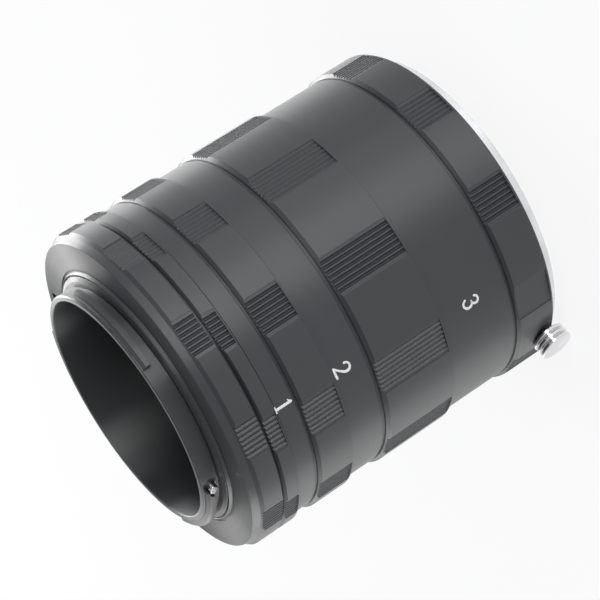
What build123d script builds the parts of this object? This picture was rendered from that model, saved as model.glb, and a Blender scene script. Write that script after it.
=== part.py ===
from build123d import *
from math import asin, atan2, cos, degrees, radians, sin, tan
import os

os.makedirs("parts", exist_ok=True)

# Millimetres. The stack stands on its lens end: the origin is the centre of the lens flange
# face, and +Z runs along the axis to the camera end. Angles are about Z, from +X.

# Lengths along the axis
PLATE = 2.1
LENS_RING = 8.0
TUBE_3 = 28.0
TUBE_2 = 14.0
TUBE_1 = 7.0
CAMERA_RING = 6.0
NECK = 4.25

# Outside of the rings and tubes: every radius is a step inwards from the ridged bands
BAND_R = 30.45
BODY_STEP = 0.67
PLATE_STEP = 1.95
FLANGE_STEP = 1.05
SHOULDER_STEP = 0.6
LENS_EDGE_STEP = 0.25
FINE_CHAMFER = 0.15

# Grooves round the partings: each is cut from the section above and from the one below
PARTING_STEP = 0.35
LEAD_STEP = 0.6
CAMERA_RING_GROOVE = 0.4
GROOVE_1 = 0.3
GROOVE_2 = 0.35
GROOVE_3 = 0.08
INSET_1 = 0.08
INSET_2 = 0.1
INSET_3 = 0.23
LENS_INSET = 0.38

# Bands, measured down from each section's camera end, and their tapered leads
BAND_1 = 2.85
BAND_2 = 6.9
BAND_3 = 14.2
LENS_BAND = 7.7
LEAD_1 = 0.45
LEAD_2 = 0.6
LEAD_3 = 0.85
LENS_LEAD = 0.87
STEP = 0.3
UNDERCUT = 0.28
SHOULDER = 1.35
SHOULDER_LEAD = 0.6

# Ridged pads
PAD_COUNT = 10
PAD_WIDTH = 7.0
PAD_STEP = 0.3
PAD_MARGIN = 0.2
RIDGE_COUNT = 8
RIDGE_PITCH = 0.88
RIDGE_DEPTH = 0.28
RIDGE_MOUTH = 0.66
RIDGE_FOOT = 0.1
PAD_ANGLE_CAMERA = -82.3
PAD_ANGLE_1 = -85.4
PAD_ANGLE_2 = -88.3
PAD_ANGLE_3 = -90.0
PAD_ANGLE_LENS = -96.7
PLAIN_PAD = 9

# Screwed joints between the sections
SOCKET_WALL = 1.78
SPIGOT_WALL = 1.6
THREAD_DEPTH = 0.4
SPIGOT = 2.6
SOCKET = 2.9
RELIEF = 0.6
RELIEF_DEPTH = 0.35
THREAD_CHAMFER = 0.3

# Inside of the tubes
BAFFLE_PITCH = 2.0
BAFFLE_WIDTH = 1.0
BAFFLE_DEPTH = 0.5
BAFFLE_MARGIN = 1.0

# Bayonet that fits the camera: steps outwards from the neck, heights above the flange face
NECK_STEP = 8.55
NECK_WALL = 1.0
NECK_CHAMFER = 0.2
RIM_CHAMFER = 0.1
LUG_REACH = 1.35
LUG_TOP = 3.95
LUG_THICK = 1.3
LUG_CHAMFER = 0.4
LUG_ANGLES = (-54.2, -173.5, 66.0)
LUG_SPANS = (52.5, 59.0, 56.0)
BOSS_STEP = 2.15
BOSS_TAPER = 0.25
BOSS = 0.55
FOOT_GROOVE = 0.45
FOOT_GROOVE_DEPTH = 0.2
JOINT_STEP = 0.2
JOINT_CLEAR = 0.05
JOINT_GROOVE = 0.15
JOINT_GROOVE_DEPTH = 0.4
CONE_FOOT = 0.75
CONE_TOP = 0.9
NECK_RELIEF = 0.4
NECK_RELIEF_TOP = 1.25
CAMERA_WEB = 2.6
INSERT_FLANGE = 1.3
INSERT_CLEAR = 0.3

# Lens flange plate, made to take a neck, lugs and boss like the camera end's
THROAT_CLEAR = 0.1
GAP_CLEAR = 0.35
COUNTERBORE_CLEAR = 0.15
COUNTERBORE = 1.15
PLATE_CHAMFER = 0.2
REGISTER = 0.25
REGISTER_STEP = 0.9
REGISTER_CLEAR = 0.05
TAB_COUNT = 3
TAB_SPAN = 58.0
TAB_ANGLE = -90.0
CAVITY_CLEAR = 0.5
LIP = 0.6
LIP_STEP = 0.7

# Screws that hold the plate
PLATE_SCREWS = 5
PLATE_SCREW_EDGE = 2.3
PLATE_SCREW_ANGLE = 84.0
PLATE_SCREW = 4.6
PLATE_SCREW_SHANK_R = 0.8
PLATE_SCREW_HEAD_R = 1.6
PLATE_SCREW_HEAD = 0.9

# Screws that hold the camera bayonet, from inside
INSERT_SCREWS = 4
INSERT_SCREW_STEP = 1.4
INSERT_SCREW_ANGLE = 20.0
INSERT_SCREW = 2.7
INSERT_SCREW_SHANK_R = 0.5
INSERT_SCREW_HEAD_R = 0.75
INSERT_SCREW_HEAD = 0.5

# Every screw
SCREW_CLEAR = 0.04
SCREW_END_ROOM = 0.3
HEAD_SINK = 0.06
DRIVE_WIDTH = 0.32
DRIVE_DEPTH = 0.35
DRIVE_SHARE = 1.2
SCREW_TIP = 0.1

# Leaf springs behind the plate's tabs
LEAF_THICK = 0.25
LEAF_INNER_CLEAR = 0.3
LEAF_OUTER_CLEAR = 0.4
LEAF_HALF = 9.0
LEAF_FLAT = 3.0
LEAF_BOW = 0.7
LEAF_CURVE = 3.0
FOOT_WIDTH = 3.0
FOOT_REACH = 2.0
FOOT_ROOM = 0.2
FOOT_SCREW_STEP = 0.8
LEAF_SCREW = 1.2
LEAF_SCREW_SHANK_R = 0.45
LEAF_SCREW_HEAD_R = 0.85
LEAF_SCREW_HEAD = 0.5

# Lens lock
LOCK_ANGLE = -157.0
LOCK_Z = 3.25
LOCK_TRAVEL = 1.4
RUN_CLEAR = 0.1
KNOB_R = 3.1
KNOB_CORE_R = 2.3
KNOB_GAP = 0.25
DISC_COUNT = 3
DISC = 0.62
DISC_GAP = 0.4
DISC_CHAMFER = 0.12
STEM_R = 0.9
STEM_TIP_R = 0.6
BLOCK_WIDTH = 4.6
BLOCK_HEIGHT = 1.9
BLOCK_LIFT = 0.05
BLOCK_STEP = 0.2
BLOCK_DEPTH = 2.8
PIN_STEP = 1.0
PIN_R = 0.75
PIN_CLEAR = 0.06
PIN_SINK = 0.1
PIN_CHAMFER = 0.15
COIL_STEP = 1.4
COIL_R = 0.7
COIL_WIRE_R = 0.12
COIL_TURNS = 3

# Stop screw on the neck, and the slot for the camera's lock pin
STOP_ANGLE = -144.5
STOP_HEIGHT = 2.5
STOP_SINK = 0.1
STOP_ROOM = 0.2
STOP_HEAD_R = 0.85
STOP_HEAD = 1.1
STOP_SHANK_R = 0.45
STOP_SHANK = 0.7
SLOT_ANGLE = 33.0
SLOT_EDGE = 2.9
SLOT_LENGTH = 3.2
SLOT_WIDTH = 1.8
SLOT_DEPTH = 1.5

# Radii that follow from the band's
BODY_R = BAND_R - BODY_STEP
PARTING_R = BODY_R - PARTING_STEP
LEAD_FOOT_R = BAND_R - LEAD_STEP
UNDERCUT_R = BODY_R - UNDERCUT
PAD_FLOOR_R = BAND_R - PAD_STEP
FLANGE_R = BAND_R - FLANGE_STEP
SHOULDER_R = BAND_R - SHOULDER_STEP
LENS_EDGE_R = BAND_R - LENS_EDGE_STEP
PLATE_R = BAND_R - PLATE_STEP
REGISTER_R = PLATE_R - REGISTER_STEP
THREAD_R = BODY_R - SOCKET_WALL
SPIGOT_R = THREAD_R - THREAD_DEPTH
BORE_R = SPIGOT_R - SPIGOT_WALL

# Radii that follow from the neck's
NECK_R = BAND_R - NECK_STEP
NECK_BORE_R = NECK_R - NECK_WALL
LUG_R = NECK_R + LUG_REACH
BOSS_R = NECK_R + BOSS_STEP
BOSS_TOP_R = BOSS_R - BOSS_TAPER
JOINT_R = BOSS_TOP_R - JOINT_STEP
CONE_TOP_R = NECK_R + CONE_FOOT
NECK_RELIEF_R = NECK_R - NECK_RELIEF
STOP_SEAT_R = NECK_R - STOP_SINK
INSERT_SCREW_CIRCLE_R = JOINT_R + INSERT_SCREW_STEP
SLOT_CIRCLE_R = FLANGE_R - SLOT_EDGE

# Radii at the lens end that follow from both
THROAT_R = NECK_R + THROAT_CLEAR
GAP_R = LUG_R + GAP_CLEAR
COUNTERBORE_R = BOSS_R + COUNTERBORE_CLEAR
CAVITY_R = COUNTERBORE_R + CAVITY_CLEAR
LIP_R = CAVITY_R - LIP_STEP
PLATE_SCREW_CIRCLE_R = PLATE_R - PLATE_SCREW_EDGE
LEAF_INNER_R = THROAT_R + LEAF_INNER_CLEAR
LEAF_OUTER_R = CAVITY_R - LEAF_OUTER_CLEAR
FOOT_END_R = CAVITY_R + FOOT_REACH
FOOT_SCREW_CIRCLE_R = CAVITY_R + FOOT_SCREW_STEP
BLOCK_INNER_R = CAVITY_R + BLOCK_STEP
BLOCK_OUTER_R = BLOCK_INNER_R + BLOCK_DEPTH
PIN_CIRCLE_R = BLOCK_INNER_R + PIN_STEP
COIL_CIRCLE_R = BLOCK_INNER_R + COIL_STEP

# Heights that follow from the lengths
TUBE_3_Z = PLATE + LENS_RING
TUBE_2_Z = TUBE_3_Z + TUBE_3
TUBE_1_Z = TUBE_2_Z + TUBE_2
CAMERA_RING_Z = TUBE_1_Z + TUBE_1
FACE_Z = CAMERA_RING_Z + CAMERA_RING
PLATE_BACK_Z = PLATE + REGISTER
LENS_SOCKET_Z = TUBE_3_Z - SOCKET
CAVITY_TOP_Z = LENS_SOCKET_Z - LIP
WEB_Z = FACE_Z - CAMERA_WEB


def turned(angle):
    """Location on the axis that turns what is placed there by an angle about Z."""
    return Location((0, 0, 0), (0, 0, angle))


def radial_plane(angle, height):
    """Plane through the axis: its x runs outwards at the angle, its y runs up."""
    turn = radians(angle)
    outwards = (cos(turn), sin(turn), 0)
    across = (sin(turn), -cos(turn), 0)
    return Plane(origin=(0, 0, height), x_dir=outwards, z_dir=across)


def on_circle(radius, angle, height):
    """Point at a radius, an angle and a height."""
    turn = radians(angle)
    return (radius * cos(turn), radius * sin(turn), height)


def outward_plane(angle, radius, height):
    """Plane at a point beside the axis that faces away from the axis."""
    turn = radians(angle)
    return Plane(
        origin=on_circle(radius, angle, height),
        x_dir=(-sin(turn), cos(turn), 0),
        z_dir=(cos(turn), sin(turn), 0),
    )


def wedge_cut(radius, span):
    """Takes a triangle out of a sketch: from the axis, over an angle about X, out past a radius."""
    reach = radius / cos(radians(span / 2))
    half_width = reach * tan(radians(span / 2))
    return Polygon((0, 0), (reach, -half_width), (reach, half_width), align=None, mode=Mode.SUBTRACT)


def screw(seat, head_points, head_r, shank_r, end):
    """Cross-recessed screw: the seat plane touches the head's top and faces out of it."""
    section = Plane(origin=seat.origin, x_dir=seat.x_dir, z_dir=-seat.y_dir)
    with BuildPart() as body:
        with BuildSketch(section):
            with BuildLine():
                Polyline(
                    (0, 0),
                    *head_points,
                    (shank_r, -end + SCREW_TIP),
                    (shank_r - SCREW_TIP, -end),
                    (0, -end),
                    close=True,
                )
            make_face()
        revolve(axis=Axis(seat.origin, seat.z_dir))
        with BuildSketch(seat):
            Rectangle(head_r * DRIVE_SHARE, DRIVE_WIDTH)
            Rectangle(DRIVE_WIDTH, head_r * DRIVE_SHARE)
        extrude(amount=-DRIVE_DEPTH, mode=Mode.SUBTRACT)
    return body


def pan_screw(seat, head_r, head, shank_r, length):
    """Screw with a low round head; its length is under the head."""
    points = [(head_r - SCREW_TIP, 0), (head_r, -SCREW_TIP), (head_r, -head), (shank_r, -head)]
    return screw(seat, points, head_r, shank_r, head + length)


def countersunk_screw(seat, head_r, head, shank_r, length):
    """Screw with a flat countersunk head; its length is the whole screw's."""
    return screw(seat, [(head_r, 0), (shank_r, -head)], head_r, shank_r, length)


def pads(first_angle, plain=None):
    """Cross-section that the pads take out of a band: flats, and grooves between ridges."""
    pitch = 360 / PAD_COUNT
    ridged = [turned(first_angle + i * pitch) for i in range(PAD_COUNT) if i != plain]
    with BuildSketch() as cut:
        with PolarLocations(0, PAD_COUNT, start_angle=first_angle):
            with Locations((PAD_FLOOR_R, 0)):
                Rectangle(2 * PAD_STEP, PAD_WIDTH, align=(Align.MIN, Align.CENTER))
        with Locations(*ridged):
            with Locations((PAD_FLOOR_R, 0)):
                with GridLocations(RIDGE_PITCH, RIDGE_PITCH, 1, RIDGE_COUNT - 1):
                    Polygon(
                        (0, -RIDGE_MOUTH / 2),
                        (0, RIDGE_MOUTH / 2),
                        (-RIDGE_DEPTH, RIDGE_FOOT / 2),
                        (-RIDGE_DEPTH, -RIDGE_FOOT / 2),
                        align=None,
                    )
    return cut.sketch


def spigot_points(low):
    """Half-section of the threaded spigot below a section's lens end, from its bore outwards."""
    return [
        (BORE_R, low - SPIGOT),
        (SPIGOT_R - THREAD_CHAMFER, low - SPIGOT),
        (SPIGOT_R, low - SPIGOT + THREAD_CHAMFER),
        (SPIGOT_R, low - RELIEF),
        (SPIGOT_R - RELIEF_DEPTH, low - RELIEF),
        (SPIGOT_R - RELIEF_DEPTH, low),
    ]


def parting_points(low, radius, groove):
    """Half-section of the groove at a section's lens end, from the parting up to an outside radius."""
    return [
        (PARTING_R, low),
        (PARTING_R, low + groove),
        (radius - FINE_CHAMFER, low + groove),
        (radius, low + groove + FINE_CHAMFER),
    ]


def socket_points(top, lead, inset):
    """Half-section of a section's camera end: the band's lead, the groove and the threaded socket."""
    return [
        (BAND_R, top - lead),
        (LEAD_FOOT_R, top - inset),
        (PARTING_R, top - inset),
        (PARTING_R, top),
        (THREAD_R + THREAD_CHAMFER, top),
        (THREAD_R, top - THREAD_CHAMFER),
        (THREAD_R, top - SOCKET),
    ]


def coned_step(height):
    """Foot of a band that slopes down to the tube's body."""
    return [(BODY_R, height - STEP), (BAND_R, height)]


def undercut_step(height):
    """Foot of a band that ends square over a fine groove."""
    return [(BODY_R, height - STEP), (UNDERCUT_R, height - STEP), (UNDERCUT_R, height), (BAND_R, height)]


def threaded_tube(low, length, band, step, groove, lead, inset, pad_angle):
    """One turned tube: spigot at its lens end, ridged band round the socket at its camera end."""
    top = low + length
    band_low = top - band
    baffle_low = low - SPIGOT + BAFFLE_MARGIN
    baffle_span = top - SOCKET - BAFFLE_MARGIN - baffle_low
    baffle_count = int(baffle_span // BAFFLE_PITCH)
    with BuildPart() as tube:
        with BuildSketch(Plane.XZ):
            with BuildLine():
                Polyline(
                    *spigot_points(low),
                    *parting_points(low, BODY_R, groove),
                    *step(band_low),
                    *socket_points(top, lead, inset),
                    (BORE_R, top - SOCKET),
                    close=True,
                )
            make_face()
            for i in range(baffle_count):
                with Locations((BORE_R, baffle_low + (i + 0.5) * baffle_span / baffle_count)):
                    Polygon(
                        (0, -BAFFLE_WIDTH / 2),
                        (BAFFLE_DEPTH, 0),
                        (0, BAFFLE_WIDTH / 2),
                        align=None,
                        mode=Mode.SUBTRACT,
                    )
        revolve(axis=Axis.Z)
        with BuildSketch(Plane.XY.offset(band_low + PAD_MARGIN)):
            add(pads(pad_angle))
        extrude(amount=band - PAD_MARGIN, mode=Mode.SUBTRACT)
    return tube


tube_1 = threaded_tube(TUBE_1_Z, TUBE_1, BAND_1, undercut_step, GROOVE_1, LEAD_1, INSET_1, PAD_ANGLE_1)
tube_1.part.label = "tube_1"
export_step(tube_1.part, "parts/tube_1.step")

tube_2 = threaded_tube(TUBE_2_Z, TUBE_2, BAND_2, coned_step, GROOVE_2, LEAD_2, INSET_2, PAD_ANGLE_2)
tube_2.part.label = "tube_2"
export_step(tube_2.part, "parts/tube_2.step")

tube_3 = threaded_tube(TUBE_3_Z, TUBE_3, BAND_3, coned_step, GROOVE_3, LEAD_3, INSET_3, PAD_ANGLE_3)
tube_3.part.label = "tube_3"
export_step(tube_3.part, "parts/tube_3.step")


# Camera end: the grip ring that carries the flange face
insert_seats = PolarLocations(INSERT_SCREW_CIRCLE_R, INSERT_SCREWS, start_angle=INSERT_SCREW_ANGLE)
insert_flange_z = WEB_Z - INSERT_FLANGE
insert_screw_top = insert_flange_z + INSERT_SCREW

with BuildPart() as camera_mount_ring:
    with BuildSketch(Plane.XZ):
        with BuildLine():
            Polyline(
                *spigot_points(CAMERA_RING_Z),
                *parting_points(CAMERA_RING_Z, BAND_R, CAMERA_RING_GROOVE),
                (BAND_R, FACE_Z - SHOULDER - SHOULDER_LEAD),
                (SHOULDER_R, FACE_Z - SHOULDER),
                (FLANGE_R + FINE_CHAMFER / 2, FACE_Z - FINE_CHAMFER),
                (FLANGE_R, FACE_Z),
                (BOSS_R + FOOT_GROOVE, FACE_Z),
                (BOSS_R + FOOT_GROOVE, FACE_Z - FOOT_GROOVE_DEPTH),
                (BOSS_R, FACE_Z - FOOT_GROOVE_DEPTH),
                (BOSS_R, FACE_Z),
                (BOSS_TOP_R, FACE_Z + BOSS),
                (JOINT_R, FACE_Z + BOSS - JOINT_STEP),
                (JOINT_R, WEB_Z),
                (BORE_R, WEB_Z),
                close=True,
            )
        make_face()
    revolve(axis=Axis.Z)
    with BuildSketch(Plane.XY.offset(CAMERA_RING_Z)):
        add(pads(PAD_ANGLE_CAMERA))
    extrude(amount=CAMERA_RING - SHOULDER - PAD_MARGIN, mode=Mode.SUBTRACT)
    with BuildSketch(Plane.XY.offset(FACE_Z)):
        with Locations(turned(SLOT_ANGLE)):
            with Locations((SLOT_CIRCLE_R, 0)):
                SlotOverall(SLOT_LENGTH, SLOT_WIDTH)
    extrude(amount=-SLOT_DEPTH, mode=Mode.SUBTRACT)
    with BuildSketch(Plane.XY.offset(WEB_Z)):
        with insert_seats:
            Circle(INSERT_SCREW_SHANK_R + SCREW_CLEAR)
    extrude(amount=insert_screw_top - WEB_Z + SCREW_END_ROOM, mode=Mode.SUBTRACT)

camera_mount_ring.part.label = "camera_mount_ring"
export_step(camera_mount_ring.part, "parts/camera_mount_ring.step")


# Camera end: the bayonet insert, a turned neck with three lugs and a sleeve below
with BuildPart() as camera_bayonet:
    with BuildSketch(Plane.XZ):
        with BuildLine():
            Polyline(
                (NECK_BORE_R, CAMERA_RING_Z - SPIGOT),
                (NECK_R, CAMERA_RING_Z - SPIGOT),
                (NECK_R, insert_flange_z),
                (BORE_R - INSERT_CLEAR, insert_flange_z),
                (BORE_R - INSERT_CLEAR, WEB_Z),
                (JOINT_R - JOINT_CLEAR, WEB_Z),
                (JOINT_R - JOINT_CLEAR, FACE_Z + BOSS - JOINT_GROOVE_DEPTH),
                (JOINT_R - JOINT_CLEAR - JOINT_GROOVE, FACE_Z + BOSS - JOINT_GROOVE_DEPTH),
                (JOINT_R - JOINT_CLEAR - JOINT_GROOVE, FACE_Z + BOSS),
                (CONE_TOP_R, FACE_Z + CONE_TOP),
                (NECK_RELIEF_R, FACE_Z + CONE_TOP),
                (NECK_RELIEF_R, FACE_Z + NECK_RELIEF_TOP),
                (NECK_R, FACE_Z + NECK_RELIEF_TOP),
                (NECK_R, FACE_Z + NECK - NECK_CHAMFER),
                (NECK_R - NECK_CHAMFER, FACE_Z + NECK),
                (NECK_BORE_R + RIM_CHAMFER, FACE_Z + NECK),
                (NECK_BORE_R, FACE_Z + NECK - RIM_CHAMFER),
                close=True,
            )
        make_face()
    revolve(axis=Axis.Z)
    for lug_angle, lug_span in zip(LUG_ANGLES, LUG_SPANS):
        with BuildSketch(radial_plane(lug_angle - lug_span / 2, FACE_Z)):
            with BuildLine():
                Polyline(
                    (NECK_BORE_R + RIM_CHAMFER, LUG_TOP - LUG_THICK),
                    (LUG_R, LUG_TOP - LUG_THICK),
                    (LUG_R, LUG_TOP - LUG_CHAMFER),
                    (LUG_R - LUG_CHAMFER, LUG_TOP),
                    (NECK_BORE_R + RIM_CHAMFER, LUG_TOP),
                    close=True,
                )
            make_face()
        revolve(axis=Axis.Z, revolution_arc=lug_span)
    with BuildSketch(outward_plane(STOP_ANGLE, STOP_SEAT_R, FACE_Z + STOP_HEIGHT)):
        Circle(STOP_HEAD_R + STOP_ROOM)
    extrude(amount=LUG_R, mode=Mode.SUBTRACT)
    with BuildSketch(outward_plane(STOP_ANGLE, STOP_SEAT_R, FACE_Z + STOP_HEIGHT)):
        Circle(STOP_SHANK_R + SCREW_CLEAR)
    extrude(amount=NECK_BORE_R - NECK_R, both=True, mode=Mode.SUBTRACT)
    with BuildSketch(Plane.XY.offset(insert_flange_z)):
        with insert_seats:
            Circle(INSERT_SCREW_SHANK_R + SCREW_CLEAR)
    extrude(amount=INSERT_FLANGE, mode=Mode.SUBTRACT)

camera_bayonet.part.label = "camera_bayonet"
export_step(camera_bayonet.part, "parts/camera_bayonet.step")

for i in range(INSERT_SCREWS):
    screw_angle = INSERT_SCREW_ANGLE + i * 360 / INSERT_SCREWS
    head_top = on_circle(INSERT_SCREW_CIRCLE_R, screw_angle, insert_flange_z - INSERT_SCREW_HEAD)
    insert_screw = pan_screw(
        Plane(origin=head_top, z_dir=(0, 0, -1)),
        INSERT_SCREW_HEAD_R,
        INSERT_SCREW_HEAD,
        INSERT_SCREW_SHANK_R,
        INSERT_SCREW,
    )
    insert_screw.part.label = f"bayonet_screw_{i + 1}"
    export_step(insert_screw.part, f"parts/bayonet_screw_{i + 1}.step")

stop_screw = pan_screw(
    outward_plane(STOP_ANGLE, STOP_SEAT_R + STOP_HEAD, FACE_Z + STOP_HEIGHT),
    STOP_HEAD_R,
    STOP_HEAD,
    STOP_SHANK_R,
    STOP_SHANK,
)
stop_screw.part.label = "bayonet_stop_screw"
export_step(stop_screw.part, "parts/bayonet_stop_screw.step")


# Places that the lens ring, its plate and their screws share
tab_angles = [TAB_ANGLE + i * 360 / TAB_COUNT for i in range(TAB_COUNT)]
leaf_mean_r = (LEAF_INNER_R + LEAF_OUTER_R) / 2
foot_angle = degrees(asin((LEAF_HALF - LEAF_FLAT / 2) / leaf_mean_r))
plate_screw_angles = [PLATE_SCREW_ANGLE + i * 360 / PLATE_SCREWS for i in range(PLATE_SCREWS)]
plate_screw_slope = (PLATE_SCREW_HEAD_R - PLATE_SCREW_SHANK_R) / PLATE_SCREW_HEAD
plate_screw_top = HEAD_SINK + PLATE_SCREW
plate_screw_seats = PolarLocations(PLATE_SCREW_CIRCLE_R, PLATE_SCREWS, start_angle=PLATE_SCREW_ANGLE)
knob_low_r = BAND_R + KNOB_GAP


# Lens end: the grip ring, with the cavity that the lens's lugs turn in
with BuildPart() as lens_mount_ring:
    with BuildSketch(Plane.XZ):
        with BuildLine():
            Polyline(
                (CAVITY_R, PLATE_BACK_Z),
                (REGISTER_R + REGISTER_CLEAR, PLATE_BACK_Z),
                (REGISTER_R + REGISTER_CLEAR, PLATE),
                (LENS_EDGE_R, PLATE),
                (BAND_R, TUBE_3_Z - LENS_BAND),
                *socket_points(TUBE_3_Z, LENS_LEAD, LENS_INSET),
                (LIP_R, LENS_SOCKET_Z),
                (LIP_R, CAVITY_TOP_Z),
                (CAVITY_R, CAVITY_TOP_Z),
                close=True,
            )
        make_face()
    revolve(axis=Axis.Z)
    with BuildSketch(Plane.XY.offset(TUBE_3_Z - LENS_BAND + PAD_MARGIN)):
        add(pads(PAD_ANGLE_LENS, plain=PLAIN_PAD))
    extrude(amount=LENS_BAND - PAD_MARGIN, mode=Mode.SUBTRACT)
    with BuildSketch(Plane.XY.offset(PLATE_BACK_Z)):
        with plate_screw_seats:
            Circle(PLATE_SCREW_SHANK_R + SCREW_CLEAR)
    extrude(amount=plate_screw_top - PLATE_BACK_Z + SCREW_END_ROOM, mode=Mode.SUBTRACT)
    with BuildSketch(Plane.XY.offset(PLATE_BACK_Z)):
        for tab_angle in tab_angles:
            with Locations(turned(tab_angle + foot_angle)):
                with Locations((LIP_R, 0)):
                    Rectangle(
                        FOOT_END_R + FOOT_ROOM - LIP_R,
                        FOOT_WIDTH + 2 * FOOT_ROOM,
                        align=(Align.MIN, Align.CENTER),
                    )
    extrude(amount=LEAF_THICK + LEAF_SCREW_HEAD + FOOT_ROOM, mode=Mode.SUBTRACT)
    with BuildSketch(Plane.XY.offset(PLATE_BACK_Z)):
        with Locations(turned(LOCK_ANGLE)):
            with Locations((LIP_R, 0)):
                Rectangle(
                    BLOCK_OUTER_R + RUN_CLEAR - LIP_R,
                    BLOCK_WIDTH + 2 * RUN_CLEAR,
                    align=(Align.MIN, Align.CENTER),
                )
    extrude(amount=CAVITY_TOP_Z - PLATE_BACK_Z, mode=Mode.SUBTRACT)
    with BuildSketch(Plane.XY.offset(PLATE)):
        with Locations(turned(LOCK_ANGLE)):
            with Locations((BLOCK_OUTER_R, 0)):
                Rectangle(
                    knob_low_r - BLOCK_OUTER_R,
                    2 * (STEM_R + RUN_CLEAR),
                    align=(Align.MIN, Align.CENTER),
                )
    extrude(amount=LOCK_Z + LOCK_TRAVEL + STEM_R + RUN_CLEAR - PLATE, mode=Mode.SUBTRACT)

lens_mount_ring.part.label = "lens_mount_ring"
export_step(lens_mount_ring.part, "parts/lens_mount_ring.step")

# Lens flange plate: three tabs in a counterbore, with gaps between that let the lens's lugs in
with BuildPart() as lens_flange_plate:
    with BuildSketch(Plane.XZ):
        with BuildLine():
            Polyline(
                (COUNTERBORE_R, 0),
                (PLATE_R - PLATE_CHAMFER, 0),
                (PLATE_R, PLATE_CHAMFER),
                (PLATE_R, PLATE),
                (REGISTER_R, PLATE),
                (REGISTER_R, PLATE_BACK_Z),
                (THROAT_R, PLATE_BACK_Z),
                (THROAT_R, COUNTERBORE),
                (COUNTERBORE_R, COUNTERBORE),
                close=True,
            )
        make_face()
    revolve(axis=Axis.Z)
    with BuildSketch():
        Circle(GAP_R)
        for tab_angle in tab_angles:
            with Locations(turned(tab_angle)):
                wedge_cut(GAP_R, TAB_SPAN)
    extrude(amount=PLATE_BACK_Z, mode=Mode.SUBTRACT)
    for screw_angle in plate_screw_angles:
        with Locations(Plane(origin=on_circle(PLATE_SCREW_CIRCLE_R, screw_angle, 0), z_dir=(0, 0, -1))):
            CounterSinkHole(
                PLATE_SCREW_SHANK_R + SCREW_CLEAR,
                PLATE_SCREW_HEAD_R + HEAD_SINK * plate_screw_slope + SCREW_CLEAR,
                counter_sink_angle=2 * degrees(atan2(plate_screw_slope, 1)),
            )
    with BuildSketch(Plane.XY.offset(PLATE_BACK_Z)):
        for tab_angle in tab_angles:
            with Locations(on_circle(FOOT_SCREW_CIRCLE_R, tab_angle + foot_angle, 0)):
                Circle(LEAF_SCREW_SHANK_R + SCREW_CLEAR)
    extrude(amount=-(LEAF_SCREW - LEAF_THICK + SCREW_CLEAR), mode=Mode.SUBTRACT)
    with BuildSketch():
        with Locations(on_circle(PIN_CIRCLE_R, LOCK_ANGLE, 0)):
            Circle(PIN_R + PIN_CLEAR)
    extrude(amount=PLATE_BACK_Z, mode=Mode.SUBTRACT)

lens_flange_plate.part.label = "lens_flange_plate"
export_step(lens_flange_plate.part, "parts/lens_flange_plate.step")

for i, screw_angle in enumerate(plate_screw_angles):
    plate_screw = countersunk_screw(
        Plane(origin=on_circle(PLATE_SCREW_CIRCLE_R, screw_angle, HEAD_SINK), z_dir=(0, 0, -1)),
        PLATE_SCREW_HEAD_R,
        PLATE_SCREW_HEAD,
        PLATE_SCREW_SHANK_R,
        PLATE_SCREW,
    )
    plate_screw.part.label = f"plate_screw_{i + 1}"
    export_step(plate_screw.part, f"parts/plate_screw_{i + 1}.step")


# Leaf springs on the plate's back, one behind each tab, each with a foot and a screw
def leaf_spring(angle):
    """Bowed blade with flat ends, cut from the ring between two radii, and a foot at one end."""
    flat_start = LEAF_HALF - LEAF_FLAT
    bow_top = LEAF_BOW + LEAF_THICK
    with BuildPart() as leaf:
        with BuildSketch(outward_plane(angle, LEAF_INNER_R - LEAF_CURVE, PLATE_BACK_Z)):
            with BuildLine():
                Line((-LEAF_HALF, 0), (-flat_start, 0))
                ThreePointArc((-flat_start, 0), (0, LEAF_BOW), (flat_start, 0))
                Polyline((flat_start, 0), (LEAF_HALF, 0), (LEAF_HALF, LEAF_THICK), (flat_start, LEAF_THICK))
                ThreePointArc((flat_start, LEAF_THICK), (0, bow_top), (-flat_start, LEAF_THICK))
                Polyline((-flat_start, LEAF_THICK), (-LEAF_HALF, LEAF_THICK), (-LEAF_HALF, 0))
            make_face()
        extrude(amount=LEAF_OUTER_R - LEAF_INNER_R + LEAF_CURVE)
        with BuildSketch(Plane.XY.offset(PLATE_BACK_Z)):
            Circle(LEAF_OUTER_R)
            Circle(LEAF_INNER_R, mode=Mode.SUBTRACT)
        extrude(amount=bow_top, mode=Mode.INTERSECT)
        with BuildSketch(Plane.XY.offset(PLATE_BACK_Z)):
            with Locations(turned(angle + foot_angle)):
                with Locations((leaf_mean_r, 0)):
                    Rectangle(FOOT_END_R - leaf_mean_r, FOOT_WIDTH, align=(Align.MIN, Align.CENTER))
        extrude(amount=LEAF_THICK)
        with BuildSketch(Plane.XY.offset(PLATE_BACK_Z)):
            with Locations(on_circle(FOOT_SCREW_CIRCLE_R, angle + foot_angle, 0)):
                Circle(LEAF_SCREW_SHANK_R + SCREW_CLEAR)
        extrude(amount=LEAF_THICK, mode=Mode.SUBTRACT)
    return leaf


for i, tab_angle in enumerate(tab_angles):
    leaf = leaf_spring(tab_angle)
    leaf.part.label = f"leaf_spring_{i + 1}"
    export_step(leaf.part, f"parts/leaf_spring_{i + 1}.step")
    head_top = PLATE_BACK_Z + LEAF_THICK + LEAF_SCREW_HEAD
    leaf_screw = pan_screw(
        Plane(origin=on_circle(FOOT_SCREW_CIRCLE_R, tab_angle + foot_angle, head_top)),
        LEAF_SCREW_HEAD_R,
        LEAF_SCREW_HEAD,
        LEAF_SCREW_SHANK_R,
        LEAF_SCREW,
    )
    leaf_screw.part.label = f"leaf_spring_screw_{i + 1}"
    export_step(leaf_screw.part, f"parts/leaf_spring_screw_{i + 1}.step")


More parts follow.
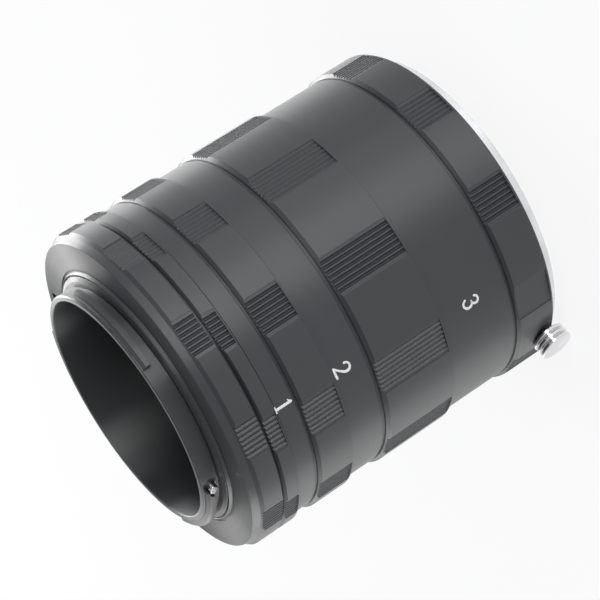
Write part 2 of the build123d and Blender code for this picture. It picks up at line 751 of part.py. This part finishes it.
# Lens lock: a block that slides in the lens ring, the pin that it carries and the knob outside
block_low = PLATE_BACK_Z + BLOCK_LIFT
block_top = block_low + BLOCK_HEIGHT
stem_tip_r = PIN_CIRCLE_R + PIN_R + SCREW_CLEAR

with BuildPart() as lock_block:
    with BuildSketch(Plane.XY.offset(block_low)):
        with Locations(turned(LOCK_ANGLE)):
            with Locations((BLOCK_INNER_R, 0)):
                Rectangle(BLOCK_OUTER_R - BLOCK_INNER_R, BLOCK_WIDTH, align=(Align.MIN, Align.CENTER))
        with Locations(on_circle(PIN_CIRCLE_R, LOCK_ANGLE, 0)):
            Circle(PIN_R + SCREW_CLEAR, mode=Mode.SUBTRACT)
    extrude(amount=BLOCK_HEIGHT)
    with BuildSketch(outward_plane(LOCK_ANGLE, PIN_CIRCLE_R, LOCK_Z)):
        Circle(STEM_TIP_R + SCREW_CLEAR)
    extrude(amount=BLOCK_OUTER_R - PIN_CIRCLE_R, mode=Mode.SUBTRACT)

lock_block.part.label = "lock_block"
export_step(lock_block.part, "parts/lock_block.step")

with BuildPart() as lock_pin:
    with BuildSketch(Plane.XY.offset(PIN_SINK)):
        with Locations(on_circle(PIN_CIRCLE_R, LOCK_ANGLE, 0)):
            Circle(PIN_R)
    extrude(amount=block_top - PIN_SINK)
    chamfer(lock_pin.edges().group_by(Axis.Z)[0], PIN_CHAMFER)

lock_pin.part.label = "lock_pin"
export_step(lock_pin.part, "parts/lock_pin.step")

knob_outline = []
for i in range(DISC_COUNT):
    disc_r = knob_low_r + i * (DISC + DISC_GAP)
    knob_outline += [
        (disc_r, KNOB_CORE_R if i else STEM_R),
        (disc_r, KNOB_R - DISC_CHAMFER),
        (disc_r + DISC_CHAMFER, KNOB_R),
        (disc_r + DISC - DISC_CHAMFER, KNOB_R),
        (disc_r + DISC, KNOB_R - DISC_CHAMFER),
        (disc_r + DISC, 0 if i == DISC_COUNT - 1 else KNOB_CORE_R),
    ]

with BuildPart() as release_knob:
    with BuildSketch(radial_plane(LOCK_ANGLE, LOCK_Z)):
        with BuildLine():
            Polyline(
                (stem_tip_r, 0),
                (stem_tip_r, STEM_TIP_R),
                (BLOCK_OUTER_R, STEM_TIP_R),
                (BLOCK_OUTER_R, STEM_R),
                *knob_outline,
                close=True,
            )
        make_face()
    revolve(axis=Axis((0, 0, LOCK_Z), on_circle(1, LOCK_ANGLE, 0)))

release_knob.part.label = "release_knob"
export_step(release_knob.part, "parts/release_knob.step")

with BuildPart() as lock_spring:
    coil_low = block_top + COIL_WIRE_R
    coil_height = CAVITY_TOP_Z - COIL_WIRE_R - coil_low
    with BuildLine() as coil:
        Helix(
            pitch=coil_height / COIL_TURNS,
            height=coil_height,
            radius=COIL_R,
            center=on_circle(COIL_CIRCLE_R, LOCK_ANGLE, coil_low),
        )
    with BuildSketch(Plane(origin=coil.line @ 0, z_dir=coil.line % 0)):
        Circle(COIL_WIRE_R)
    sweep(is_frenet=True)

lock_spring.part.label = "lock_spring"
export_step(lock_spring.part, "parts/lock_spring.step")
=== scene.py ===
import math

import bpy
from mathutils import Matrix, Vector


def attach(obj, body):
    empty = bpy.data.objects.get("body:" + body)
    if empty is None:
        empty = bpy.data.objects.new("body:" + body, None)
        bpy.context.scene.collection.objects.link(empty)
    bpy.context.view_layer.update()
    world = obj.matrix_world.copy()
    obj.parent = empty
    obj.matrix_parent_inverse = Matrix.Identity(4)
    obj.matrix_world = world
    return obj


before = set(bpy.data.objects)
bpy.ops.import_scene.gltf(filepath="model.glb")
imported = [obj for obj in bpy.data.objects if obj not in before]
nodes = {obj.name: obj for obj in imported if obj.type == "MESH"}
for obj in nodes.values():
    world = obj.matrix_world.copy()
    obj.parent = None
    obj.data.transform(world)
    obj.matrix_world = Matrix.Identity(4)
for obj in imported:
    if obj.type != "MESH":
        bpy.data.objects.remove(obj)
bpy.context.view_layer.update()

# Metres. The axis of the stack is Z, with the lens end on the floor.
MM = 0.001
BODY_R = 29.78 * MM
SPIGOT_R = 27.6 * MM
THREAD_R = 28.0 * MM
THREAD_SINK = 0.02 * MM
# Height of the marks that turning leaves, the share of a radian that counts as a length in the noise,
# and the turn of the anisotropy from the rings to across them
MARK_DEPTH = 3.0 * 0.001 * MM
TURN_SCALE = 0.0002
QUARTER_TURN = 0.25
BEVEL_SAMPLES = 6

TUBE_STARTS = {"tube_3": 10.1 * MM, "tube_2": 38.1 * MM, "tube_1": 52.1 * MM, "camera_module": 59.1 * MM}
SOCKET_TOPS = {"lens_module": 10.1 * MM, "tube_3": 38.1 * MM, "tube_2": 52.1 * MM, "tube_1": 59.1 * MM}


class Shader:
    """A node material with one Principled shader, and short ways to add nodes to it."""

    def __init__(self, name, **sockets):
        self.material = bpy.data.materials.new(name)
        self.material.use_nodes = True
        self.tree = self.material.node_tree
        self.tree.nodes.clear()
        self.out = self.add("ShaderNodeOutputMaterial")
        self.bsdf = self.add("ShaderNodeBsdfPrincipled")
        self.tree.links.new(self.bsdf.outputs[0], self.out.inputs["Surface"])
        for key, value in sockets.items():
            self.bsdf.inputs[key.replace("_", " ")].default_value = value

    def add(self, kind, **settings):
        node = self.tree.nodes.new(kind)
        for key, value in settings.items():
            setattr(node, key, value)
        return node

    def set(self, socket, value):
        """Links an output to a socket, or sets the socket's value."""
        if isinstance(value, bpy.types.NodeSocket):
            self.tree.links.new(value, socket)
        else:
            socket.default_value = value

    def shade(self, name, value):
        self.set(self.bsdf.inputs[name], value)

    def math(self, operation, a, b=0.0, clamp=False):
        node = self.add("ShaderNodeMath", operation=operation, use_clamp=clamp)
        self.set(node.inputs[0], a)
        self.set(node.inputs[1], b)
        return node.outputs[0]

    def remap(self, value, low, high, to_low=0.0, to_high=1.0):
        node = self.add("ShaderNodeMapRange", clamp=True)
        for i, v in enumerate((value, low, high, to_low, to_high)):
            self.set(node.inputs[i], v)
        return node.outputs[0]

    def mix(self, share, a, b):
        node = self.add("ShaderNodeMix", data_type="RGBA")
        self.set(node.inputs[0], share)
        self.set(node.inputs[6], a)
        self.set(node.inputs[7], b)
        return node.outputs[2]

    def noise(self, vector, scale, detail=3.0, rough=0.55):
        node = self.add("ShaderNodeTexNoise")
        self.set(node.inputs["Vector"], vector)
        node.inputs["Scale"].default_value = scale
        node.inputs["Detail"].default_value = detail
        node.inputs["Roughness"].default_value = rough
        return node.outputs["Fac"]

    def place(self):
        """Object coordinates, and the same as (radius, a slow turn, height), for rings round the axis."""
        here = self.add("ShaderNodeTexCoord").outputs["Object"]
        parts = self.add("ShaderNodeSeparateXYZ")
        self.set(parts.inputs[0], here)
        x, y, z = parts.outputs
        radius = self.math("SQRT", self.math("ADD", self.math("MULTIPLY", x, x), self.math("MULTIPLY", y, y)))
        turn = self.math("MULTIPLY", self.math("ARCTAN2", y, x), TURN_SCALE)
        rings = self.add("ShaderNodeCombineXYZ")
        self.set(rings.inputs[0], radius)
        self.set(rings.inputs[1], turn)
        self.set(rings.inputs[2], z)
        return here, rings.outputs[0]

    def edges(self, radius):
        """Normal with its edges rounded, and how far each point is from flat, 0 to 1."""
        bevel = self.add("ShaderNodeBevel", samples=BEVEL_SAMPLES)
        bevel.inputs["Radius"].default_value = radius
        flat = self.add("ShaderNodeNewGeometry").outputs["Normal"]
        dot = self.add("ShaderNodeVectorMath", operation="DOT_PRODUCT")
        self.set(dot.inputs[0], bevel.outputs[0])
        self.set(dot.inputs[1], flat)
        turned = self.math("SUBTRACT", 1.0, dot.outputs["Value"])
        return bevel.outputs[0], self.remap(turned, 0.01, 0.22)

    def bump(self, height, depth, normal=None):
        node = self.add("ShaderNodeBump")
        node.inputs["Strength"].default_value = 1.0
        node.inputs["Distance"].default_value = depth
        self.set(node.inputs["Height"], height)
        if normal is not None:
            self.set(node.inputs["Normal"], normal)
        self.shade("Normal", node.outputs[0])


def turned_metal(
    name, colour, edge_wear_and_highlight, rough, edge_wear_and_highlight_share=0.5, marks=0.5, grain=0.5, edge=0.09, turn=0.6, **sockets
):
    """Lathe-turned metal: fine rings, a grain, cloudy tone, and edges that catch the light, from rounded
    normals and from a painted highlight.

    The worn colour, partly edge wear and partly a painted highlight, shows on the edges, by the share wear.
    The edges are rounded by edge, in millimetres, marks and grain are the heights of the rings and the grain,
    and turn is the anisotropy.
    """
    s = Shader(name, **sockets)
    here, rings = s.place()
    cloud = s.noise(here, 95.0, 4.0)
    ring = s.noise(rings, 5200.0, 3.0, 0.6)
    fine = s.noise(here, 9500.0, 2.0)
    rounded, edges = s.edges(edge * MM)
    # Edge mask for the lighter edge colour: partly rubbed wear, partly a painted highlight on the edges
    rubbed_and_highlight = s.math("MULTIPLY", edges, s.remap(s.noise(here, 700.0, 4.0), 0.35, 0.75, 0.15, 1.0))
    dark, light = ([c * level for c in colour] + [1] for level in (0.86, 1.14))
    tone = s.mix(s.remap(cloud, 0.35, 0.68), dark, light)
    tone = s.mix(s.math("MULTIPLY", rubbed_and_highlight, edge_wear_and_highlight_share), tone, [*edge_wear_and_highlight, 1])
    s.shade("Base Color", tone)
    spread = s.math("MULTIPLY", s.math("SUBTRACT", ring, 0.5), 0.10)
    spread = s.math("ADD", spread, s.math("MULTIPLY", s.math("SUBTRACT", cloud, 0.5), 0.12))
    s.shade("Roughness", s.math("ADD", spread, rough, clamp=True))
    rough_height = s.math("ADD", s.math("MULTIPLY", ring, marks), s.math("MULTIPLY", fine, grain))
    s.bump(rough_height, MARK_DEPTH, rounded)
    if turn:
        s.bsdf.inputs["Anisotropic"].default_value = turn
        s.bsdf.inputs["Anisotropic Rotation"].default_value = QUARTER_TURN
        tangent = s.add("ShaderNodeTangent", direction_type="RADIAL", axis="Z")
        s.shade("Tangent", tangent.outputs[0])
    return s


def dress(names, shader):
    for name in names:
        node = nodes[name]
        node.data.materials.clear()
        node.data.materials.append(shader.material)


# On each metal below, the second colour lightens the edges: partly wear, partly a painted highlight
black = turned_metal(
    "black_anodised", (0.013, 0.015, 0.019), (0.16, 0.17, 0.18), 0.45, turn=0.85,
    Specular_IOR_Level=0.95,
)
# The bayonet's light throat rim and lug edges are partly bare worn metal and partly a painted highlight
neck_black = turned_metal(
    "bayonet_black", (0.012, 0.0135, 0.016), (0.42, 0.43, 0.45), 0.38, edge_wear_and_highlight_share=0.8, edge=0.12, turn=0.85,
    Specular_IOR_Level=0.95,
)
silver = turned_metal(
    "flange_plate", (0.80, 0.81, 0.83), (0.9, 0.9, 0.91), 0.27, Metallic=1.0, edge_wear_and_highlight_share=0.3,
)
chrome = turned_metal(
    "knob_chrome", (0.83, 0.82, 0.84), (0.9, 0.9, 0.9), 0.09, Metallic=1.0, edge_wear_and_highlight_share=0.2,
    marks=0.25, grain=0.2, edge=0.06, turn=0.0,
)
brass = turned_metal("brass_block", (0.62, 0.44, 0.2), (0.75, 0.6, 0.35), 0.33, Metallic=1.0, turn=0.0)
steel = turned_metal("pin_steel", (0.6, 0.6, 0.62), (0.75, 0.75, 0.76), 0.22, Metallic=1.0)
spring = turned_metal("spring_steel", (0.46, 0.46, 0.47), (0.6, 0.6, 0.6), 0.34, Metallic=1.0, turn=0.0)
nickel = turned_metal("plate_screw", (0.66, 0.66, 0.66), (0.8, 0.8, 0.8), 0.2, Metallic=1.0, turn=0.0)
dark_steel = turned_metal(
    "small_screw", (0.09, 0.09, 0.095), (0.35, 0.35, 0.35), 0.34, Metallic=0.8, turn=0.0,
)

dress(["lens_mount_ring", "tube_1", "tube_2", "tube_3", "camera_mount_ring"], black)
dress(["camera_bayonet"], neck_black)
dress(["lens_flange_plate"], silver)
dress(["release_knob", "bayonet_stop_screw"], chrome)
dress(["lock_block"], brass)
dress(["lock_pin"], steel)
dress(["lock_spring", *(n for n in nodes if n.startswith("leaf_spring_") and "screw" not in n)], spring)
dress([n for n in nodes if n.startswith("plate_screw")], nickel)
dress([n for n in nodes if n.startswith(("bayonet_screw", "leaf_spring_screw"))], dark_steel)


def mesh_piece(name, points, faces, shader, body, smooth=True):
    mesh = bpy.data.meshes.new(name)
    mesh.from_pydata(points, [], faces)
    mesh.validate()
    mesh.update()
    for face in mesh.polygons:
        face.use_smooth = smooth
    mesh.materials.append(shader.material)
    piece = bpy.data.objects.new(name, mesh)
    bpy.context.scene.collection.objects.link(piece)
    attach(piece, body)
    return piece


# Numerals: ribbons drawn in millimetres, then laid round the tube, from just under its surface to just over
PAINT_FOOT = -0.03
PAINT_TOP = 0.018


def curve_points(knots, steps=10):
    """Smooth line through the knots, each of them (x, y, width)."""
    line = [knots[0], *knots, knots[-1]]
    out = []
    for i in range(1, len(line) - 2):
        p = [Vector(line[i + k]) for k in (-1, 0, 1, 2)]
        for j in range(steps):
            t = j / steps
            a = 2 * p[1]
            b = (p[2] - p[0]) * t
            c = (2 * p[0] - 5 * p[1] + 4 * p[2] - p[3]) * t * t
            d = (3 * p[1] - p[0] - 3 * p[2] + p[3]) * t ** 3
            out.append((a + b + c + d) / 2)
    out.append(Vector(knots[-1]))
    return out


def ribbon(knots, round_ends=True):
    """Pairs of points on the two sides of a stroke, along it."""
    line = curve_points(knots)
    pairs = []
    for i, p in enumerate(line):
        ahead = line[min(i + 1, len(line) - 1)] - line[max(i - 1, 0)]
        along = Vector((ahead.x, ahead.y)).normalized()
        across = Vector((-along.y, along.x)) * p.z / 2
        at = Vector((p.x, p.y))
        if round_ends and i in (0, len(line) - 1):
            out = -along if i == 0 else along
            caps = []
            for k in range(1, 5):
                turn = k / 4 * math.pi / 2
                caps.append((at + out * math.cos(turn) * p.z / 2 + across * math.sin(turn),
                             at + out * math.cos(turn) * p.z / 2 - across * math.sin(turn)))
            pairs += caps if i == 0 else caps[::-1]
        else:
            pairs.append((at + across, at - across))
    return pairs


NUMERALS = {
    "1": [
        [(0, -1.6, 0.5), (0, 1.45, 0.5)],
        [(-0.62, -1.5, 0.22), (0.62, -1.5, 0.22)],
        [(-0.55, 1.0, 0.16), (-0.25, 1.18, 0.26), (0.02, 1.5, 0.36)],
    ],
    "2": [
        [(-0.85, 0.72, 0.42), (-0.72, 1.15, 0.36), (-0.25, 1.46, 0.34), (0.35, 1.36, 0.44),
         (0.68, 0.88, 0.52), (0.5, 0.2, 0.44), (-0.1, -0.6, 0.36), (-0.75, -1.28, 0.34)],
        [(-0.88, -1.42, 0.4), (0.1, -1.42, 0.42), (0.92, -1.36, 0.42)],
    ],
    "3": [
        [(-0.82, 0.95, 0.42), (-0.5, 1.38, 0.38), (0.05, 1.46, 0.36), (0.5, 1.2, 0.46),
         (0.55, 0.66, 0.46), (0.2, 0.25, 0.34), (-0.25, 0.16, 0.3)],
        [(-0.25, 0.16, 0.3), (0.3, 0.12, 0.34), (0.72, -0.3, 0.5), (0.66, -1.0, 0.48),
         (0.1, -1.44, 0.38), (-0.5, -1.38, 0.38), (-0.88, -0.95, 0.42)],
    ],
}

paint = Shader("numeral_paint", Roughness=0.5, Specular_IOR_Level=0.3)
here, _ = paint.place()
spots = paint.noise(here, 5200.0, 3.0)
paint.shade("Base Color", paint.mix(paint.remap(spots, 0.3, 0.6), [0.7, 0.71, 0.73, 1], [0.9, 0.9, 0.9, 1]))
paint.bump(spots, 0.004 * MM)


def numeral(text, angle, height, body):
    """Paint laid on the tube at an angle and height; it reads with its top towards the lens end."""
    points, faces = [], []
    for stroke in NUMERALS[text]:
        pairs = ribbon(stroke, round_ends=len(stroke) > 2)
        start = len(points)
        for left, right in pairs:
            corners = ((left, PAINT_TOP), (right, PAINT_TOP), (right, PAINT_FOOT), (left, PAINT_FOOT))
            for side, lift in corners:
                turn = math.radians(angle) - side.x * MM / BODY_R
                radius = BODY_R + lift * MM
                points.append((radius * math.cos(turn), radius * math.sin(turn), height - side.y * MM))
        for i in range(len(pairs) - 1):
            a, b = start + 4 * i, start + 4 * i + 4
            faces += [(a + k, a + (k + 1) % 4, b + (k + 1) % 4, b + k) for k in range(4)]
        end = start + 4 * (len(pairs) - 1)
        faces += [tuple(range(start, start + 4))[::-1], tuple(range(end, end + 4))]
    return mesh_piece(f"numeral_{text}", points, faces, paint, body, smooth=False)


numeral("1", -115.7, 54.4 * MM, "tube_1")
numeral("2", -116.5, 42.85 * MM, "tube_2")
numeral("3", -122.0, 17.4 * MM, "tube_3")


# Threads: a helical ridge round each spigot and inside each socket
def thread(name, radius, crest, low, high, body, pitch=0.65, around=144):
    points, faces = [], []
    turns = (high - low) / (pitch * MM)
    count = int(turns * around)
    half = pitch * 0.42 * MM
    for i in range(count + 1):
        turn = 2 * math.pi * i / around
        fade = min(1.0, i / (around / 6), (count - i) / (around / 6))
        middle = low + pitch * MM * i / around
        for r, dz in ((radius, half), (radius + (crest - radius) * fade, half * 0.15),
                      (radius + (crest - radius) * fade, -half * 0.15), (radius, -half)):
            z = min(max(middle + dz, low), high)
            points.append((r * math.cos(turn), r * math.sin(turn), z))
    for i in range(count):
        a, b = 4 * i, 4 * i + 4
        faces += [(a + k, a + k + 1, b + k + 1, b + k) for k in range(3)]
    return mesh_piece(name, points, faces, black, body, smooth=False)


for body, start in TUBE_STARTS.items():
    foot, crest = SPIGOT_R - THREAD_SINK, SPIGOT_R + 0.2 * MM
    thread(f"spigot_thread_{body}", foot, crest, start - 2.3 * MM, start - 0.65 * MM, body)
for body, top in SOCKET_TOPS.items():
    foot, crest = THREAD_R + THREAD_SINK, THREAD_R - 0.16 * MM
    thread(f"socket_thread_{body}", foot, crest, top - 2.8 * MM, top - 0.35 * MM, body)


# Floor, light and camera
FLOOR_HALF = 4.0
FLOOR_DROP = 0.05 * MM
AIM_Z = 35.0 * MM
SENSOR = 36
FOCAL_PIXELS = 2370.06
PICTURE_PIXELS = 600
FILL = 0.55
CEILING = 0.4
# Name, azimuth, elevation, distance, width, height, radiance
LAMPS = (
    ("front_soft", -32, 9, 0.9, 1.1, 0.3, 2.2),
    ("front_key", -22, 9, 0.9, 0.5, 0.3, 3.9),
    ("left", -110, 9, 0.9, 0.4, 0.3, 0.7),
    ("left_back", -140, 9, 0.9, 0.6, 0.3, 10.0),
    ("back", -172, 9, 0.9, 0.3, 0.3, 2.5),
    ("right_back", 145, 9, 0.9, 0.4, 0.3, 1.3),
    ("right", 116, 9, 0.9, 0.5, 0.3, 4.2),
)


def stage_floor():
    mesh = bpy.data.meshes.new("floor")
    corners = [(FLOOR_HALF * x, FLOOR_HALF * y, 0) for x, y in ((-1, -1), (1, -1), (1, 1), (-1, 1))]
    mesh.from_pydata(corners, [], [(0, 1, 2, 3)])
    floor = bpy.data.objects.new("floor", mesh)
    floor.location.z = -FLOOR_DROP
    bpy.context.scene.collection.objects.link(floor)
    s = Shader("floor_white", Roughness=0.9, Specular_IOR_Level=0.1)
    s.bsdf.inputs["Base Color"].default_value = (0.94, 0.94, 0.945, 1)
    glow = s.add("ShaderNodeEmission")
    glow.inputs["Color"].default_value = (1, 1, 1, 1)
    glow.inputs["Strength"].default_value = 1.0
    path = s.add("ShaderNodeLightPath")
    seen = s.math("MAXIMUM", path.outputs["Is Camera Ray"], path.outputs["Is Glossy Ray"])
    seen = s.math("MAXIMUM", seen, path.outputs["Is Transmission Ray"])
    blend = s.add("ShaderNodeMixShader")
    s.set(blend.inputs[0], s.math("MULTIPLY", seen, 0.85))
    s.set(blend.inputs[1], s.bsdf.outputs[0])
    s.set(blend.inputs[2], glow.outputs[0])
    s.set(s.out.inputs["Surface"], blend.outputs[0])
    mesh.materials.append(s.material)


def stage_world():
    """Soft fill as light; what is seen or mirrored is a white horizon under a grey ceiling."""
    world = bpy.data.worlds.new("studio")
    bpy.context.scene.world = world
    world.use_nodes = True
    tree = world.node_tree
    tree.nodes.clear()

    def add(kind, *inputs, **settings):
        node = tree.nodes.new(kind)
        for key, value in settings.items():
            setattr(node, key, value)
        for socket, value in zip(node.inputs, inputs):
            if isinstance(value, bpy.types.NodeSocket):
                tree.links.new(value, socket)
            elif value is not None:
                socket.default_value = value
        return node

    path = add("ShaderNodeLightPath").outputs
    way = add("ShaderNodeSeparateXYZ", add("ShaderNodeTexCoord").outputs["Generated"]).outputs
    ceiling = add("ShaderNodeMapRange", way[2], 0.1, 0.55, 1.0, CEILING)
    ceiling.name = "ceiling"
    glossy, passed = path["Is Glossy Ray"], path["Is Transmission Ray"]
    mirrored = add("ShaderNodeMath", glossy, passed, operation="MAXIMUM").outputs[0]
    seen = add("ShaderNodeMath", path["Is Camera Ray"], mirrored, operation="MAXIMUM").outputs[0]
    level = add("ShaderNodeMath", ceiling.outputs[0], path["Is Camera Ray"], operation="MAXIMUM").outputs[0]
    fill = add("ShaderNodeBackground", (0.97, 0.985, 1.0, 1), FILL)
    fill.name = "fill"
    white = add("ShaderNodeBackground", (1, 1, 1, 1), level)
    blend = add("ShaderNodeMixShader", seen, fill.outputs[0], white.outputs[0])
    add("ShaderNodeOutputWorld", blend.outputs[0])


def softbox(name, azimuth, elevation, distance, width, height, radiance):
    """Area light that faces the stack. Azimuth 0 is the camera's side (-Y), and it grows towards -X."""
    turn, rise = math.radians(azimuth), math.radians(elevation)
    way = Vector((-math.sin(turn) * math.cos(rise), -math.cos(turn) * math.cos(rise), math.sin(rise)))
    lamp = bpy.data.lights.new(name, "AREA")
    lamp.shape = "RECTANGLE"
    lamp.size, lamp.size_y = width, height
    lamp.energy = radiance * math.pi * width * height
    holder = bpy.data.objects.new(name, lamp)
    holder.location = way * distance + Vector((0, 0, AIM_Z))
    holder.rotation_euler = way.to_track_quat("Z", "Y").to_euler()
    holder.visible_camera = False
    bpy.context.scene.collection.objects.link(holder)


stage_floor()
stage_world()
for lamp in LAMPS:
    softbox(*lamp)

camera_data = bpy.data.cameras.new("camera")
camera = bpy.data.objects.new("camera", camera_data)
bpy.context.scene.collection.objects.link(camera)
camera_data.sensor_width = SENSOR
camera_data.lens = SENSOR * FOCAL_PIXELS / PICTURE_PIXELS
camera_data.clip_start = 0.01
camera_data.clip_end = 20
right = Vector((-0.54194, -0.28080, -0.79212))
up = Vector((0.84042, -0.17993, -0.51120))
back = Vector((0.00102, -0.94275, 0.33350))
turn = Matrix((right, up, back)).transposed()
camera.matrix_world = Matrix.Translation((0, -0.38158, 0.16804)) @ turn.to_4x4()
bpy.context.scene.camera = camera

scene = bpy.context.scene
scene.view_settings.view_transform = "Standard"
